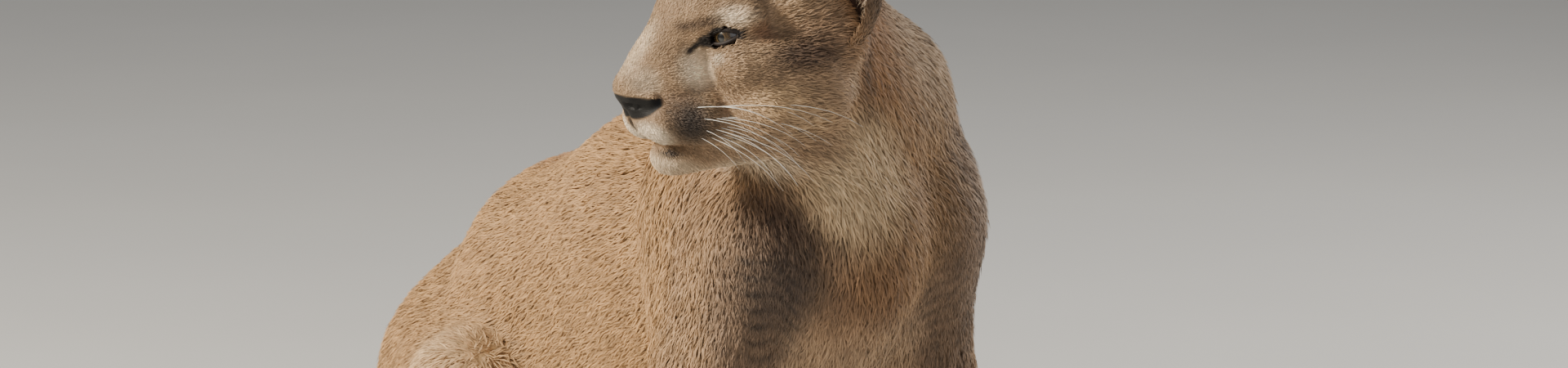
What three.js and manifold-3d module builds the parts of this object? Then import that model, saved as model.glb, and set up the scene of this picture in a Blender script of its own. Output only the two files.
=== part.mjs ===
// A sitting cougar, life size, as a still museum model.
// The body faces -Y and the head is turned a quarter round to the animal's right, towards -X.
// +Z is up, the floor is z = 0 and every length is in millimetres.
// The form is a sum of named masses of muscle, fat and bone, each a tapered capsule between two
// points of the skeleton. They blend into one smooth body, which thin cuts then part into its
// head, neck, trunk, legs and tail.
import * as THREE from "three";
import { mergeVertices } from "three/addons/utils/BufferGeometryUtils.js";
import Module from "manifold-3d";

const wasm = await Module();
wasm.setup();

// Driving dimensions
const GAP = 0.3; // between neighbouring pieces
const SHOULDER = { x: 84, y: -158, z: 446 }; // point of the shoulder, left side
const ELBOW = { x: 99, y: -112, z: 305 };
const WRIST = { x: 86, y: -124, z: 98 };
const FOREPAW = { x: 86, y: -156, z: 26 };
const HIP = { x: 76, y: 415, z: 222 };
const KNEE = { x: 150, y: 250, z: 254 };
const HOCK = { x: 122, y: 382, z: 29 };
const HINDPAW = { x: 150, y: 196, z: 24 };
const EYES = { x: -148, y: -188, z: 636 }; // midpoint between the eyes
const HEAD_TURN = -90; // degrees about Z from the body's own heading
const EYE = { x: -15, y: 36, z: 0, r: 17 }; // this and the next six in the head frame
const LID_THICKNESS = 2.6;
const LID_OPENING = { out: 14, across: 5, radii: [9, 15.5, 6.8], turn: 27 };
const NOSE = { at: [52, 0, -56], radii: [21, 22, 16], turn: 1.5, tilt: 20 };
const NOSTRIL = { x: 60, y: 8.5, z: -60, radii: [9, 3.4, 4.2], turn: 38 };
const EAR = { x: -99, y: 60, z: 40, radii: [24, 36, 58], turn: 40, tilt: -6 };
const EAR_HOLLOW = { depth: 7.3, wall: 4 };
const LIP_GROOVE = 2.6; // radius of the groove along the mouth
const LEG_CUTS = {
  fore: { from: 40, to: 160, paw: 86, forearm: 296 },
  arm: { from: 66, to: 180, back: 6, top: 640 },
  hind: { from: 84, to: 240, foot: 78, shin: 186, thigh: 350 },
};
const OVERLAP = 16; // of one cutting block over the next
const CELLS = {
  nose: 8,
  jaw: 10,
  muzzle: 10,
  head: 13,
  neck: 31,
  forepaw: 13,
  forearm: 22,
  upper_arm: 34,
  hind_foot: 14,
  shin: 24,
  thigh: 34,
  tail_end: 19,
  tail_middle: 18,
  tail_root: 20,
  rump: 38,
  belly: 38,
  chest: 39,
};
const TAWNY = 0xb58f64;
const PALE = 0xcdb79b;
const NOSE_BLACK = 0x2a2320;
const IRIS_BROWN = 0x6b5530;
const COAT_ROUGHNESS = 0.9;
const EYE_ROUGHNESS = 0.1;
const BODY_LOW = [-260, -300, -30];
const BODY_HIGH = [320, 640, 760];
const LEFT = 1;
const RIGHT = -1;
const SIDES = [
  ["left", LEFT],
  ["right", RIGHT],
];

// Points of the left side, mirrored for the right
const paired = (p, side) => [p.x * side, p.y, p.z];
const offset = (p, dx, dy, dz) => [p[0] + dx, p[1] + dy, p[2] + dz];

// Head frame: x forward from the eyes, y to the animal's left, z up
const headFrame = new THREE.Matrix4()
  .makeTranslation(EYES.x, EYES.y, EYES.z)
  .multiply(new THREE.Matrix4().makeRotationZ(((HEAD_TURN - 90) * Math.PI) / 180));
const inHead = (x, y, z) => new THREE.Vector3(x, y, z).applyMatrix4(headFrame).toArray();

// One mass: a capsule from a to b with end radii ra and rb. flat is an axis and the share of
// the width that is left along it. blend is how far the mass melts into what came before.
function mass(a, b, ra, rb, { flat = null, blend = 12 } = {}) {
  const [nx, ny, nz, share] = flat ?? [0, 0, 0, 1];
  const swell = 1 / share - 1;
  const ab = [b[0] - a[0], b[1] - a[1], b[2] - a[2]];
  const along = (ab[0] * nx + ab[1] * ny + ab[2] * nz) * swell;
  const wide = [ab[0] + along * nx, ab[1] + along * ny, ab[2] + along * nz];
  const length2 = Math.max(wide[0] ** 2 + wide[1] ** 2 + wide[2] ** 2, 1e-9);
  const middle = a.map((v, i) => (v + b[i]) / 2);
  const reach = Math.hypot(...ab) / 2 + Math.max(ra, rb) * Math.max(share, 1) + blend;
  const beyond = (x, y, z) => Math.hypot(x - middle[0], y - middle[1], z - middle[2]) - reach;
  const distance = (x, y, z) => {
    const qx = x - a[0];
    const qy = y - a[1];
    const qz = z - a[2];
    const stretch = (qx * nx + qy * ny + qz * nz) * swell;
    const wx = qx + stretch * nx;
    const wy = qy + stretch * ny;
    const wz = qz + stretch * nz;
    const t = Math.min(Math.max((wx * wide[0] + wy * wide[1] + wz * wide[2]) / length2, 0), 1);
    const r = ra + t * (rb - ra);
    const inflated = Math.hypot(wx - t * wide[0], wy - t * wide[1], wz - t * wide[2]);
    if (!flat) return inflated - r;
    const real = Math.hypot(qx - t * ab[0], qy - t * ab[1], qz - t * ab[2]);
    return (inflated - r) * (inflated > 1e-6 ? real / inflated : share);
  };
  return { distance, beyond, blend };
}

// Trunk
const ACROSS = [1, 0, 0];
const flatX = (share) => [...ACROSS, share];
const trunk = [
  mass([0, -92, 448], [0, 110, 404], 110, 119, { flat: flatX(0.9) }),
  mass([0, 110, 404], [0, 300, 326], 119, 119, { flat: flatX(1.02), blend: 30 }),
  mass([0, 300, 326], [0, 425, 242], 119, 114, { blend: 30 }),
  mass([0, 425, 242], [0, 455, 91], 114, 94, { flat: flatX(1.05), blend: 40 }),
  mass([0, -20, 372], [0, 250, 252], 92, 112, { flat: flatX(1.05), blend: 40 }),
  mass([0, -70, 528], [0, 110, 462], 38, 42, { blend: 40 }),
  mass([0, -172, 436], [0, -104, 330], 70, 62, { blend: 40 }),
];

// Neck, turning from the chest up to the back of the head
const neck = [
  mass([0, -95, 476], [0, -146, 552], 104, 82, { blend: 30 }),
  mass([0, -146, 552], [-54, -188, 620], 82, 67, { blend: 20 }),
  mass([-72, -194, 568], [-2, -184, 474], 46, 60, { blend: 25 }),
  mass([-36, -186, 654], [46, -136, 566], 36, 58, { blend: 30 }),
  mass([46, -136, 566], [76, -140, 500], 54, 54, { blend: 30 }),
];

// Head, in the head frame
const skull = (a, b, ra, rb, options) => mass(inHead(...a), inHead(...b), ra, rb, options);
const head = [
  skull([-30, 0, 12], [-84, 0, 6], 50, 56, { blend: 15 }),
  skull([-9, 0, 13], [-9, 0, 13], 38, 38, { blend: 20 }),
  skull([11, 0, 2], [58, 0, -42], 29, 17, { blend: 12 }),
  skull([25, 0, -42], [40, 0, -60], 36, 24, { blend: 12 }),
  skull([-90, 0, -30], [-20, 0, -66], 58, 44, { blend: 20 }),
  skull([26, 0, -101], [12, 0, -101], 15, 16, { blend: 5 }),
  ...SIDES.flatMap(([, s]) => [
    skull([2, s * 26, 17], [-22, s * 44, 14], 16, 16, { blend: 10 }),
    skull([36, s * 17, -68], [8, s * 27, -66], 21, 24, { blend: 8 }),
    skull([-18, s * 46, -24], [-70, s * 60, -22], 24, 25, { blend: 14 }),
    skull([-40, s * 46, -58], [-78, s * 46, -50], 33, 36, { blend: 14 }),
    skull([22, s * 8, -101], [-55, s * 36, -84], 14, 20, { blend: 6 }),
    skull([-72, s * 42, 26], [-98, s * 52, -4], 28, 30, { blend: 14 }),
  ]),
];

// Forelegs, straight pillars under the shoulder
const foreleg = (s) => {
  const shoulder = paired(SHOULDER, s);
  const elbow = paired(ELBOW, s);
  const wrist = paired(WRIST, s);
  const paw = paired(FOREPAW, s);
  const toe = (across, forward, r) =>
    mass(offset(paw, across * 0.55, 8, 8), offset(paw, across, -forward, -12), r + 2, r, { blend: 5 });
  return [
    mass([s * 58, -34, 524], offset(shoulder, -s * 6, 8, 10), 44, 56, { flat: flatX(0.72), blend: 36 }),
    mass(shoulder, elbow, 52, 54, { flat: flatX(0.82), blend: 42 }),
    mass([s * 84, -60, 462], offset(elbow, -s * 2, 18, 26), 54, 44, { flat: flatX(0.75), blend: 52 }),
    mass(offset(elbow, 0, -8, 4), [s * 90, -116, 185], 47, 33, { blend: 16 }),
    mass([s * 90, -116, 185], wrist, 33, 29, { blend: 12 }),
    mass(wrist, offset(paw, 0, 10, 12), 29, 33, { blend: 12 }),
    mass(offset(paw, 0, 4, -6), offset(paw, 0, -6, -6), 22, 22, { blend: 10 }),
    toe(-33, 26, 16),
    toe(-11, 40, 17),
    toe(12, 40, 17),
    toe(34, 24, 16),
  ];
};

// Hind legs, folded under the rump with the whole foot flat on the floor
const hindleg = (s) => {
  const hip = paired(HIP, s);
  const knee = paired(KNEE, s);
  const hock = paired(HOCK, s);
  const paw = paired(HINDPAW, s);
  const toe = (across, forward, r) =>
    mass(offset(paw, across * 0.6, 10, 8), offset(paw, across, -forward, -10), r + 2, r, { blend: 5 });
  return [
    mass(hip, knee, 94, 56, { flat: flatX(0.82), blend: 36 }),
    mass(offset(hip, s * 10, 0, -90), offset(knee, -s * 10, 40, -70), 60, 45, {
      flat: flatX(0.8),
      blend: 36,
    }),
    mass(offset(knee, 0, 6, 0), offset(hock, 0, -6, 34), 52, 31, { blend: 20 }),
    mass(hock, offset(paw, 0, 30, 4), 30, 28, { blend: 14 }),
    mass(offset(paw, 0, 8, -4), offset(paw, 0, -4, -4), 21, 21, { blend: 10 }),
    toe(-30, 24, 15),
    toe(-10, 36, 16),
    toe(11, 36, 16),
    toe(31, 22, 15),
  ];
};

// Tail, down from the rump and round the left side on the floor
const TAIL_PARTS = 14;
const tailCourse = new THREE.CatmullRomCurve3(
  [
    [0, 455, 160],
    [0, 528, 82],
    [44, 580, 34],
    [150, 570, 26],
    [236, 470, 25],
    [272, 320, 23],
    [262, 150, 21],
  ].map((p) => new THREE.Vector3(...p)),
).getSpacedPoints(TAIL_PARTS);
const tailRadius = (t) => 27 - 6 * t + 18 * Math.exp(-12 * t);
const tail = tailCourse.slice(1).map((to, i) => {
  const from = tailCourse[i].toArray();
  const radii = [i, i + 1].map((v) => tailRadius(v / TAIL_PARTS));
  return mass(from, to.toArray(), ...radii, { blend: i < 3 ? 24 : 8 });
});

const masses = [
  ...trunk,
  ...neck,
  ...SIDES.flatMap(([, s]) => foreleg(s)),
  ...SIDES.flatMap(([, s]) => hindleg(s)),
  ...tail,
  ...head,
];

// Smooth joining of two distances
const join = (p, q, blend) => {
  const near = Math.max(blend - Math.abs(p - q), 0) / blend;
  return Math.min(p, q) - (near * near * blend) / 4;
};

// The whole animal as a distance: below zero inside
function form(x, y, z) {
  let d = 1e6;
  for (const m of masses) if (m.beyond(x, y, z) < d) d = join(d, m.distance(x, y, z), m.blend);
  return d;
}

// A closed net of quads round the form inside a box, its vertices drawn on to the surface
function net(lo, hi, cell) {
  const n = lo.map((v, i) => Math.ceil((hi[i] - v) / cell) + 1);
  const index = (i, j, k) => i + n[0] * (j + n[1] * k);
  const value = new Float64Array(n[0] * n[1] * n[2]);
  for (let k = 0; k < n[2]; k++)
    for (let j = 0; j < n[1]; j++)
      for (let i = 0; i < n[0]; i++) {
        const edge = !i || !j || !k || i === n[0] - 1 || j === n[1] - 1 || k === n[2] - 1;
        const at = [lo[0] + i * cell, lo[1] + j * cell, lo[2] + k * cell];
        value[index(i, j, k)] = edge ? cell : form(...at);
      }
  const vertexOf = new Map();
  const points = [];
  const fixed = [];
  for (let k = 0; k < n[2] - 1; k++)
    for (let j = 0; j < n[1] - 1; j++)
      for (let i = 0; i < n[0] - 1; i++) {
        const sum = [0, 0, 0];
        let crossings = 0;
        for (let c = 0; c < 8; c++)
          for (const axis of [1, 2, 4]) {
            if (c & axis) continue;
            const from = [c & 1, (c >> 1) & 1, (c >> 2) & 1];
            const e = c | axis;
            const to = [e & 1, (e >> 1) & 1, (e >> 2) & 1];
            const a = value[index(i + from[0], j + from[1], k + from[2])];
            const b = value[index(i + to[0], j + to[1], k + to[2])];
            if (a < 0 === b < 0) continue;
            const t = a / (a - b);
            for (let m = 0; m < 3; m++) sum[m] += from[m] + t * (to[m] - from[m]);
            crossings++;
          }
        if (!crossings) continue;
        vertexOf.set(index(i, j, k), points.length);
        const p = [i, j, k].map((v, m) => lo[m] + (v + sum[m] / crossings) * cell);
        points.push(p);
        fixed.push(!i || !j || !k || i === n[0] - 2 || j === n[1] - 2 || k === n[2] - 2);
      }
  const quads = [];
  const steps = [
    [1, 0, 0],
    [0, 1, 0],
    [0, 0, 1],
  ];
  for (let k = 0; k < n[2] - 1; k++)
    for (let j = 0; j < n[1] - 1; j++)
      for (let i = 0; i < n[0] - 1; i++)
        steps.forEach((s, axis) => {
          const a = value[index(i, j, k)];
          const b = value[index(i + s[0], j + s[1], k + s[2])];
          if (a < 0 === b < 0) return;
          const u = steps[(axis + 1) % 3];
          const v = steps[(axis + 2) % 3];
          const around = [
            [0, 0],
            [1, 0],
            [1, 1],
            [0, 1],
          ].map(([p, q]) =>
            vertexOf.get(index(i - p * u[0] - q * v[0], j - p * u[1] - q * v[1], k - p * u[2] - q * v[2])),
          );
          quads.push(a < 0 ? around : around.reverse());
        });
  settle(points, fixed, quads, cell);
  return toSolid(points, quads);
}

// Evens the net out and draws each free vertex on to the surface again
function settle(points, fixed, quads, cell) {
  const ROUNDS = 4;
  for (let round = 0; round <= ROUNDS; round++) {
    if (round > 0) {
      const sum = points.map(() => [0, 0, 0, 0]);
      for (const quad of quads)
        quad.forEach((from, c) => {
          const to = points[quad[(c + 1) % 4]];
          for (let m = 0; m < 3; m++) sum[from][m] += to[m];
          sum[from][3]++;
        });
      points.forEach((p, i) => {
        if (fixed[i]) return;
        for (let m = 0; m < 3; m++) p[m] += 0.5 * (sum[i][m] / sum[i][3] - p[m]);
      });
    }
    points.forEach((p, i) => {
      if (!fixed[i]) draw(p, cell * 0.6);
    });
  }
}

// Moves a point along the gradient until it lies on the surface
function draw(p, most) {
  const H = 0.5;
  for (let pass = 0; pass < 2; pass++) {
    const d = form(...p);
    const g = [
      form(p[0] + H, p[1], p[2]) - form(p[0] - H, p[1], p[2]),
      form(p[0], p[1] + H, p[2]) - form(p[0], p[1] - H, p[2]),
      form(p[0], p[1], p[2] + H) - form(p[0], p[1], p[2] - H),
    ].map((v) => v / (2 * H));
    const steep = Math.max(g[0] ** 2 + g[1] ** 2 + g[2] ** 2, 0.2);
    const step = Math.min(Math.max(d / steep, -most), most);
    for (let m = 0; m < 3; m++) p[m] -= step * g[m];
  }
}

// Quads, each split along its shorter diagonal, as a solid
function toSolid(points, quads) {
  const gap2 = (a, b) => points[a].reduce((s, v, m) => s + (v - points[b][m]) ** 2, 0);
  const triangles = quads.flatMap(([a, b, c, d]) =>
    gap2(a, c) < gap2(b, d) ? [a, b, c, a, c, d] : [b, c, d, b, d, a],
  );
  return new wasm.Manifold(
    new wasm.Mesh({
      numProp: 3,
      vertProperties: Float32Array.from(points.flat()),
      triVerts: Uint32Array.from(triangles),
    }),
  );
}

// A three.js geometry as a solid
function solidOf(geometry) {
  const bare = geometry.clone();
  bare.deleteAttribute("normal");
  bare.deleteAttribute("uv");
  const merged = mergeVertices(bare, 1e-4);
  return new wasm.Manifold(
    new wasm.Mesh({
      numProp: 3,
      vertProperties: merged.attributes.position.array,
      triVerts: Uint32Array.from(merged.index.array),
    }),
  );
}

// A cutting block between two corners, turned about a point in a frame of its own
function block(lo, hi, { turn = [0, 0, 0], about = [0, 0, 0], frame = new THREE.Matrix4() } = {}) {
  const degrees = Math.PI / 180;
  const place = frame
    .clone()
    .multiply(new THREE.Matrix4().makeTranslation(...about))
    .multiply(new THREE.Matrix4().makeRotationFromEuler(new THREE.Euler(...turn.map((t) => t * degrees))));
  const solid = (grow) => {
    const size = hi.map((v, i) => v - lo[i] + 2 * grow);
    const middle = hi.map((v, i) => (v + lo[i]) / 2);
    return solidOf(
      new THREE.BoxGeometry(...size).translate(...middle).applyMatrix4(place),
    );
  };
  const reach = new THREE.Box3(new THREE.Vector3(...lo), new THREE.Vector3(...hi)).applyMatrix4(place);
  return { solid, reach };
}

// An ellipsoid in the head frame, with its radii, turned about the vertical
function oval(middle, radii, turn = 0, tilt = 0) {
  const AROUND = 14;
  const ALONG = 10;
  const degrees = Math.PI / 180;
  const solid = (grow) =>
    solidOf(
      new THREE.SphereGeometry(1, AROUND, ALONG)
        .scale(...radii.map((r) => r + grow))
        .rotateY(tilt * degrees)
        .rotateZ(turn * degrees)
        .translate(...middle)
        .applyMatrix4(headFrame),
    );
  const most = Math.max(...radii);
  const corner = (sign) => new THREE.Vector3(...middle.map((v) => v + sign * most));
  return { solid, reach: new THREE.Box3(corner(-1), corner(1)).applyMatrix4(headFrame) };
}

// The largest closed body of a solid
const largest = (solid) =>
  solid
    .decompose()
    .sort((a, b) => b.volume() - a.volume())[0];

const group = new THREE.Group();
const taken = [];
const FLOOR = block([-2000, -2000, -500], [2000, 2000, 0]);

function addMesh(name, solid, colour, roughness) {
  const { vertProperties, triVerts } = largest(solid).getMesh();
  const geometry = new THREE.BufferGeometry();
  geometry.setAttribute("position", new THREE.BufferAttribute(Float32Array.from(vertProperties), 3));
  geometry.setIndex(new THREE.BufferAttribute(Uint32Array.from(triVerts), 1));
  geometry.computeVertexNormals();
  const material = new THREE.MeshStandardMaterial({ color: colour, roughness, metalness: 0 });
  const mesh = new THREE.Mesh(geometry, material);
  mesh.name = name;
  group.add(mesh);
}

// Parts the flesh inside a block from the rest, clear of all the blocks taken before
function flesh(name, territory, colour, { add = [], cut = [], groove = false } = {}) {
  const cell = CELLS[name.replace(/_(left|right)$/, "")];
  const margin = 2.5 * cell;
  const lo = territory.reach.min.toArray().map((v, i) => Math.max(v, BODY_LOW[i]) - margin);
  const hi = territory.reach.max.toArray().map((v, i) => Math.min(v, BODY_HIGH[i]) + margin);
  let solid = net(lo, hi, cell);
  for (const extra of add) solid = solid.add(extra.solid(0));
  solid = solid.intersect(territory.solid(0));
  for (const hollow of cut) solid = solid.subtract(hollow.solid(GAP));
  if (groove) solid = solid.subtract(lipGroove);
  for (const other of taken) solid = solid.subtract(other.solid(GAP));
  solid = solid.subtract(FLOOR.solid(0));
  taken.push(territory);
  addMesh(name, solid, colour, COAT_ROUGHNESS);
}

// Nose leather at the tip of the muzzle, with a nostril on each side
const nostrils = SIDES.map(([, s]) =>
  oval([NOSTRIL.x, s * NOSTRIL.y, NOSTRIL.z], NOSTRIL.radii, s * NOSTRIL.turn),
);
const noseLeather = oval(NOSE.at, NOSE.radii, NOSE.turn, NOSE.tilt);

// Eyes, the balls of the lids over them and the almond openings between the lids
const ball = (s, r) => oval([EYE.x, s * EYE.y, EYE.z], [r, r, r]);
const eyeBalls = SIDES.map(([, s]) => ball(s, EYE.r));
const lidBalls = SIDES.map(([, s]) => ball(s, EYE.r + LID_THICKNESS));
const eyeOpenings = SIDES.map(([, s]) =>
  oval(
    [EYE.x + LID_OPENING.out, s * (EYE.y + LID_OPENING.across), EYE.z],
    LID_OPENING.radii,
    s * LID_OPENING.turn,
  ),
);

// Ears, each a cup hollowed out of a rounded shell
const ear = (s, depth, wall) =>
  oval(
    [EAR.x + depth, s * (EAR.y + wall), EAR.z],
    [EAR.radii[0] - wall / 2, EAR.radii[1] - wall, EAR.radii[2] - wall],
    s * EAR.turn,
    EAR.tilt,
  );
const earShells = SIDES.map(([, s]) => ear(s, 0, 0));
const earHollows = SIDES.map(([, s]) => ear(s, EAR_HOLLOW.depth, EAR_HOLLOW.wall));

// The line of the mouth from one corner round under the nose to the other
const MOUTH_LINE = [
  [-12, 44, -86],
  [2, 42, -92],
  [22, 34, -95],
  [38, 18, -93],
  [47, 0, -88],
  [38, -18, -93],
  [22, -34, -95],
  [2, -42, -92],
  [-12, -44, -86],
];
const lipGroove = (() => {
  const course = new THREE.CatmullRomCurve3(MOUTH_LINE.map((p) => new THREE.Vector3(...inHead(...p))));
  const section = new THREE.Shape().absarc(0, 0, LIP_GROOVE, 0, 2 * Math.PI);
  const sweep = { steps: 26, curveSegments: 6, bevelEnabled: false, extrudePath: course };
  return solidOf(new THREE.ExtrudeGeometry(section, sweep));
})();

taken.push(...earShells);
const MUZZLE_CUT = { turn: [0, 15, 0], about: [25, 0, 0], frame: headFrame };
const NECK_CUT = { turn: [48, 0, 0], about: [0, -80, 560] };
flesh("nose", noseLeather, NOSE_BLACK, { cut: nostrils });
flesh("jaw", block([-26, -60, -125], [70, 60, -91], { frame: headFrame }), PALE, { groove: true });
flesh("muzzle", block([0, -60, -150], [100, 60, 30], MUZZLE_CUT), PALE, { groove: true });
flesh("head", block([-118, -130, -118], [200, 130, 220], { frame: headFrame }), TAWNY, {
  add: lidBalls,
  cut: [...eyeOpenings, ...eyeBalls, ...earHollows],
  groove: true,
});
flesh("neck", block([-320, -320, 0], [320, 60, 500], NECK_CUT), TAWNY);

// A block on one side of the body, from near its middle line to beyond the leg
function sideBlock(s, { from, to }, [front, low], [back, high]) {
  const across = [s * from, s * to].sort((a, b) => a - b);
  return block([across[0], front, low], [across[1], back, high]);
}

for (const [label, s] of SIDES) {
  const { fore, arm, hind } = LEG_CUTS;
  const armLow = fore.forearm - OVERLAP;
  const shinLow = hind.foot - OVERLAP / 2;
  flesh(`forepaw_${label}`, sideBlock(s, fore, [-260, -20], [-90, fore.paw]), TAWNY);
  flesh(`forearm_${label}`, sideBlock(s, fore, [-260, fore.paw - OVERLAP / 2], [-20, fore.forearm]), TAWNY);
  flesh(`upper_arm_${label}`, sideBlock(s, arm, [-320, armLow], [arm.back, arm.top]), TAWNY);
  flesh(`hind_foot_${label}`, sideBlock(s, hind, [90, -20], [420, hind.foot]), TAWNY);
  flesh(`shin_${label}`, sideBlock(s, hind, [180, shinLow], [370, hind.shin]), TAWNY);
  flesh(`thigh_${label}`, sideBlock(s, hind, [165, 50], [560, hind.thigh]), TAWNY);
}
flesh("tail_end", block([160, 90, -20], [320, 420, 80]), TAWNY);
flesh("tail_middle", block([60, 90, -20], [320, 640, 80]), TAWNY);
flesh("tail_root", block([-80, 535, -20], [320, 640, 160]), TAWNY);
flesh("rump", block([-200, 320, -20], [200, 640, 500]), TAWNY);
flesh("belly", block([-200, 120, 60], [200, 640, 640]), TAWNY);
flesh("chest", block([-200, -320, 200], [200, 640, 700]), TAWNY);

SIDES.forEach(([label], i) => {
  addMesh(`eye_${label}`, eyeBalls[i].solid(0), IRIS_BROWN, EYE_ROUGHNESS);
  const cup = earShells[i].solid(0).subtract(earHollows[i].solid(0));
  addMesh(`ear_${label}`, cup, TAWNY, COAT_ROUGHNESS);
});

// The origin lies on the floor in the middle of the footprint
const whole = new THREE.Box3().setFromObject(group);
const centre = whole.getCenter(new THREE.Vector3());
for (const mesh of group.children) mesh.geometry.translate(-centre.x, -centre.y, -whole.min.z);

export default group;
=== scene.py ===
"""A sitting cougar, life size, as a museum shows one: head turned to its right, tail round its left."""
import math

import bmesh
import bpy
import numpy as np
from mathutils import Matrix, Vector


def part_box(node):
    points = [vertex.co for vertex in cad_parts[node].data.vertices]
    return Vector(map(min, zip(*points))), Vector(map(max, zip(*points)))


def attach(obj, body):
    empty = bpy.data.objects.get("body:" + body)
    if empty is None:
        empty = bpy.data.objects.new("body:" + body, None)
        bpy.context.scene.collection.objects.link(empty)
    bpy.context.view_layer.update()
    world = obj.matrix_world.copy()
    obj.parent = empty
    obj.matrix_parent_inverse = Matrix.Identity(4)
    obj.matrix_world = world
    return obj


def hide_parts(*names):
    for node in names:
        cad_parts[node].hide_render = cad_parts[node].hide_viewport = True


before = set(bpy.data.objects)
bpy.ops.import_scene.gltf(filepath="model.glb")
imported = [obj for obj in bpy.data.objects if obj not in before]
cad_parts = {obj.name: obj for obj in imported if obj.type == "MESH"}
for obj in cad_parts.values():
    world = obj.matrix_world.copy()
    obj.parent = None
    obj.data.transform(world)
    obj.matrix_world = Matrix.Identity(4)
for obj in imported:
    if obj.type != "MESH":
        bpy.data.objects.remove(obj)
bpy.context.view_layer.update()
bpy.ops.object.select_all(action="DESELECT")


# View and light. The camera stands five metres off, a little above the cougar's eyes, and sees
# its head, neck, shoulders and back. A warm soft light comes from the upper left, with a weak
# fill in front and a light on the far side behind.
MM = 0.001
EYE_LEFT = Vector((-133, -224, 636))  # middle of the left eye in the measures of the body, mm
SHIFT = (Vector(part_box("eye_left")[0]) + Vector(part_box("eye_left")[1])) / 2 - EYE_LEFT * MM
VIEW_TURN = math.radians(28)
VIEW_DROP = math.radians(10)
VIEW_REACH = 5.0
VIEW_MIDDLE = Vector((-69, -190, 504))  # mm
LENS = 140.6  # mm, on a sensor 36 mm wide


def placed(point):
    """A point of the body, in millimetres, as a place in the scene."""
    return Vector(point) * MM + SHIFT


look = Vector((
    math.sin(VIEW_TURN) * math.cos(VIEW_DROP),
    math.cos(VIEW_TURN) * math.cos(VIEW_DROP),
    -math.sin(VIEW_DROP),
))
camera_data = bpy.data.cameras.new("camera")
camera_data.lens = LENS
camera_data.sensor_width = 36
camera = bpy.data.objects.new("camera", camera_data)
camera.location = placed(VIEW_MIDDLE) - look * VIEW_REACH
camera.rotation_euler = look.to_track_quat("-Z", "Y").to_euler()
bpy.context.scene.collection.objects.link(camera)
bpy.context.scene.camera = camera


def soft_light(name, place, aim, size, power, colour):
    """A square soft box at a place, turned to its aim."""
    data = bpy.data.lights.new(name, "AREA")
    data.size = size
    data.energy = power
    data.color = colour
    light = bpy.data.objects.new(name, data)
    light.location = place
    light.rotation_euler = (Vector(aim) - Vector(place)).to_track_quat("-Z", "Y").to_euler()
    bpy.context.scene.collection.objects.link(light)


soft_light("key", (-3.0, 0.35, 2.2), (0, -0.1, 0.45), 0.9, 255, (1.0, 0.93, 0.80))
soft_light("fill", (-0.9, -3.6, 1.8), (0, 0, 0.4), 2.4, 24, (0.94, 0.96, 1.0))
soft_light("back", (2.9, -0.4, 2.0), (0, -0.1, 0.45), 1.8, 85, (1.0, 0.97, 0.93))
world = bpy.data.worlds.new("studio")
bpy.context.scene.world = world
world.use_nodes = True
world.node_tree.nodes["Background"].inputs["Color"].default_value = (0.80, 0.83, 0.88, 1)
world.node_tree.nodes["Background"].inputs["Strength"].default_value = 0.27


# Materials: each is one principled shader with patterns in the piece's own space, and its
# colours are given as a painter would mix them, from 0 to 255.
class Wire:
    """A socket of a shader, on which sums are written as plain expressions."""

    def __init__(self, tree, socket):
        self.tree = tree
        self.socket = socket

    def __add__(self, other):
        return self.tree.node("ShaderNodeMath", {"operation": "ADD"}, (self, other))

    def __mul__(self, other):
        return self.tree.node("ShaderNodeMath", {"operation": "MULTIPLY"}, (self, other))

    def over(self, low, high):
        """0 below low, 1 above high and smooth between."""
        return self.tree.node(
            "ShaderNodeMapRange",
            {"interpolation_type": "SMOOTHSTEP"},
            {"Value": self, "From Min": low, "From Max": high},
        )


class Finish:
    """A material with one principled shader, whose other nodes are added by one method."""

    def __init__(self, name, **constants):
        self.material = bpy.data.materials.new(name)
        self.material.use_nodes = True
        self.nodes = self.material.node_tree.nodes
        self.shader = self.nodes["Principled BSDF"]
        for socket, value in constants.items():
            self.shader.inputs[socket.replace("_", " ")].default_value = value

    def node(self, kind, settings, inputs, output=0):
        """A new node with its settings and inputs, as the wire of one output."""
        made = self.nodes.new(kind)
        for key, value in settings.items():
            setattr(made, key, value)
        pairs = inputs.items() if isinstance(inputs, dict) else enumerate(inputs)
        for key, value in pairs:
            if isinstance(value, Wire):
                self.material.node_tree.links.new(value.socket, made.inputs[key])
            else:
                made.inputs[key].default_value = value
        return Wire(self, made.outputs[output])

    def place(self):
        return self.node("ShaderNodeTexCoord", {}, {}, "Object")

    def noise(self, scale, detail=3.0):
        where = self.place()
        return self.node("ShaderNodeTexNoise", {}, {"Vector": where, "Scale": scale, "Detail": detail})

    def mix(self, share, first, second, blend="MIX"):
        """One colour over another by a share, or their product."""
        settings = {"data_type": "RGBA", "blend_type": blend}
        return self.node("ShaderNodeMix", settings, {0: share, 6: first, 7: second}, 2)

    def feed(self, socket, wire):
        self.material.node_tree.links.new(wire.socket, self.shader.inputs[socket])

    def bump(self, height, strength, distance):
        inputs = {"Height": height, "Strength": strength, "Distance": distance}
        self.feed("Normal", self.node("ShaderNodeBump", {}, inputs))


def colour(red, green, blue):
    """An everyday 0 to 255 colour as the linear one that a shader takes."""
    def linear(v):
        v /= 255
        return v / 12.92 if v <= 0.04045 else ((v + 0.055) / 1.055) ** 2.4

    return (linear(red), linear(green), linear(blue), 1.0)


# Floor: plain, pale and matt, as in a studio, and so wide that no edge comes into view.
# Two pale greys drift across it, too faint to read as a pattern.
FLOOR_SIZE = 14  # m

bpy.ops.mesh.primitive_plane_add(size=FLOOR_SIZE)
floor = bpy.context.object
floor.name = "floor"
bpy.ops.object.mode_set(mode="EDIT")
bpy.ops.mesh.subdivide(number_cuts=6)
bpy.ops.object.mode_set(mode="OBJECT")
floor_finish = Finish("floor_paint", Roughness=0.85)
floor_finish.feed("Base Color", floor_finish.mix(
    floor_finish.noise(3.0), colour(206, 204, 200), colour(212, 210, 206)
))
floor.data.materials.append(floor_finish.material)
bpy.ops.object.select_all(action="DESELECT")


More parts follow.
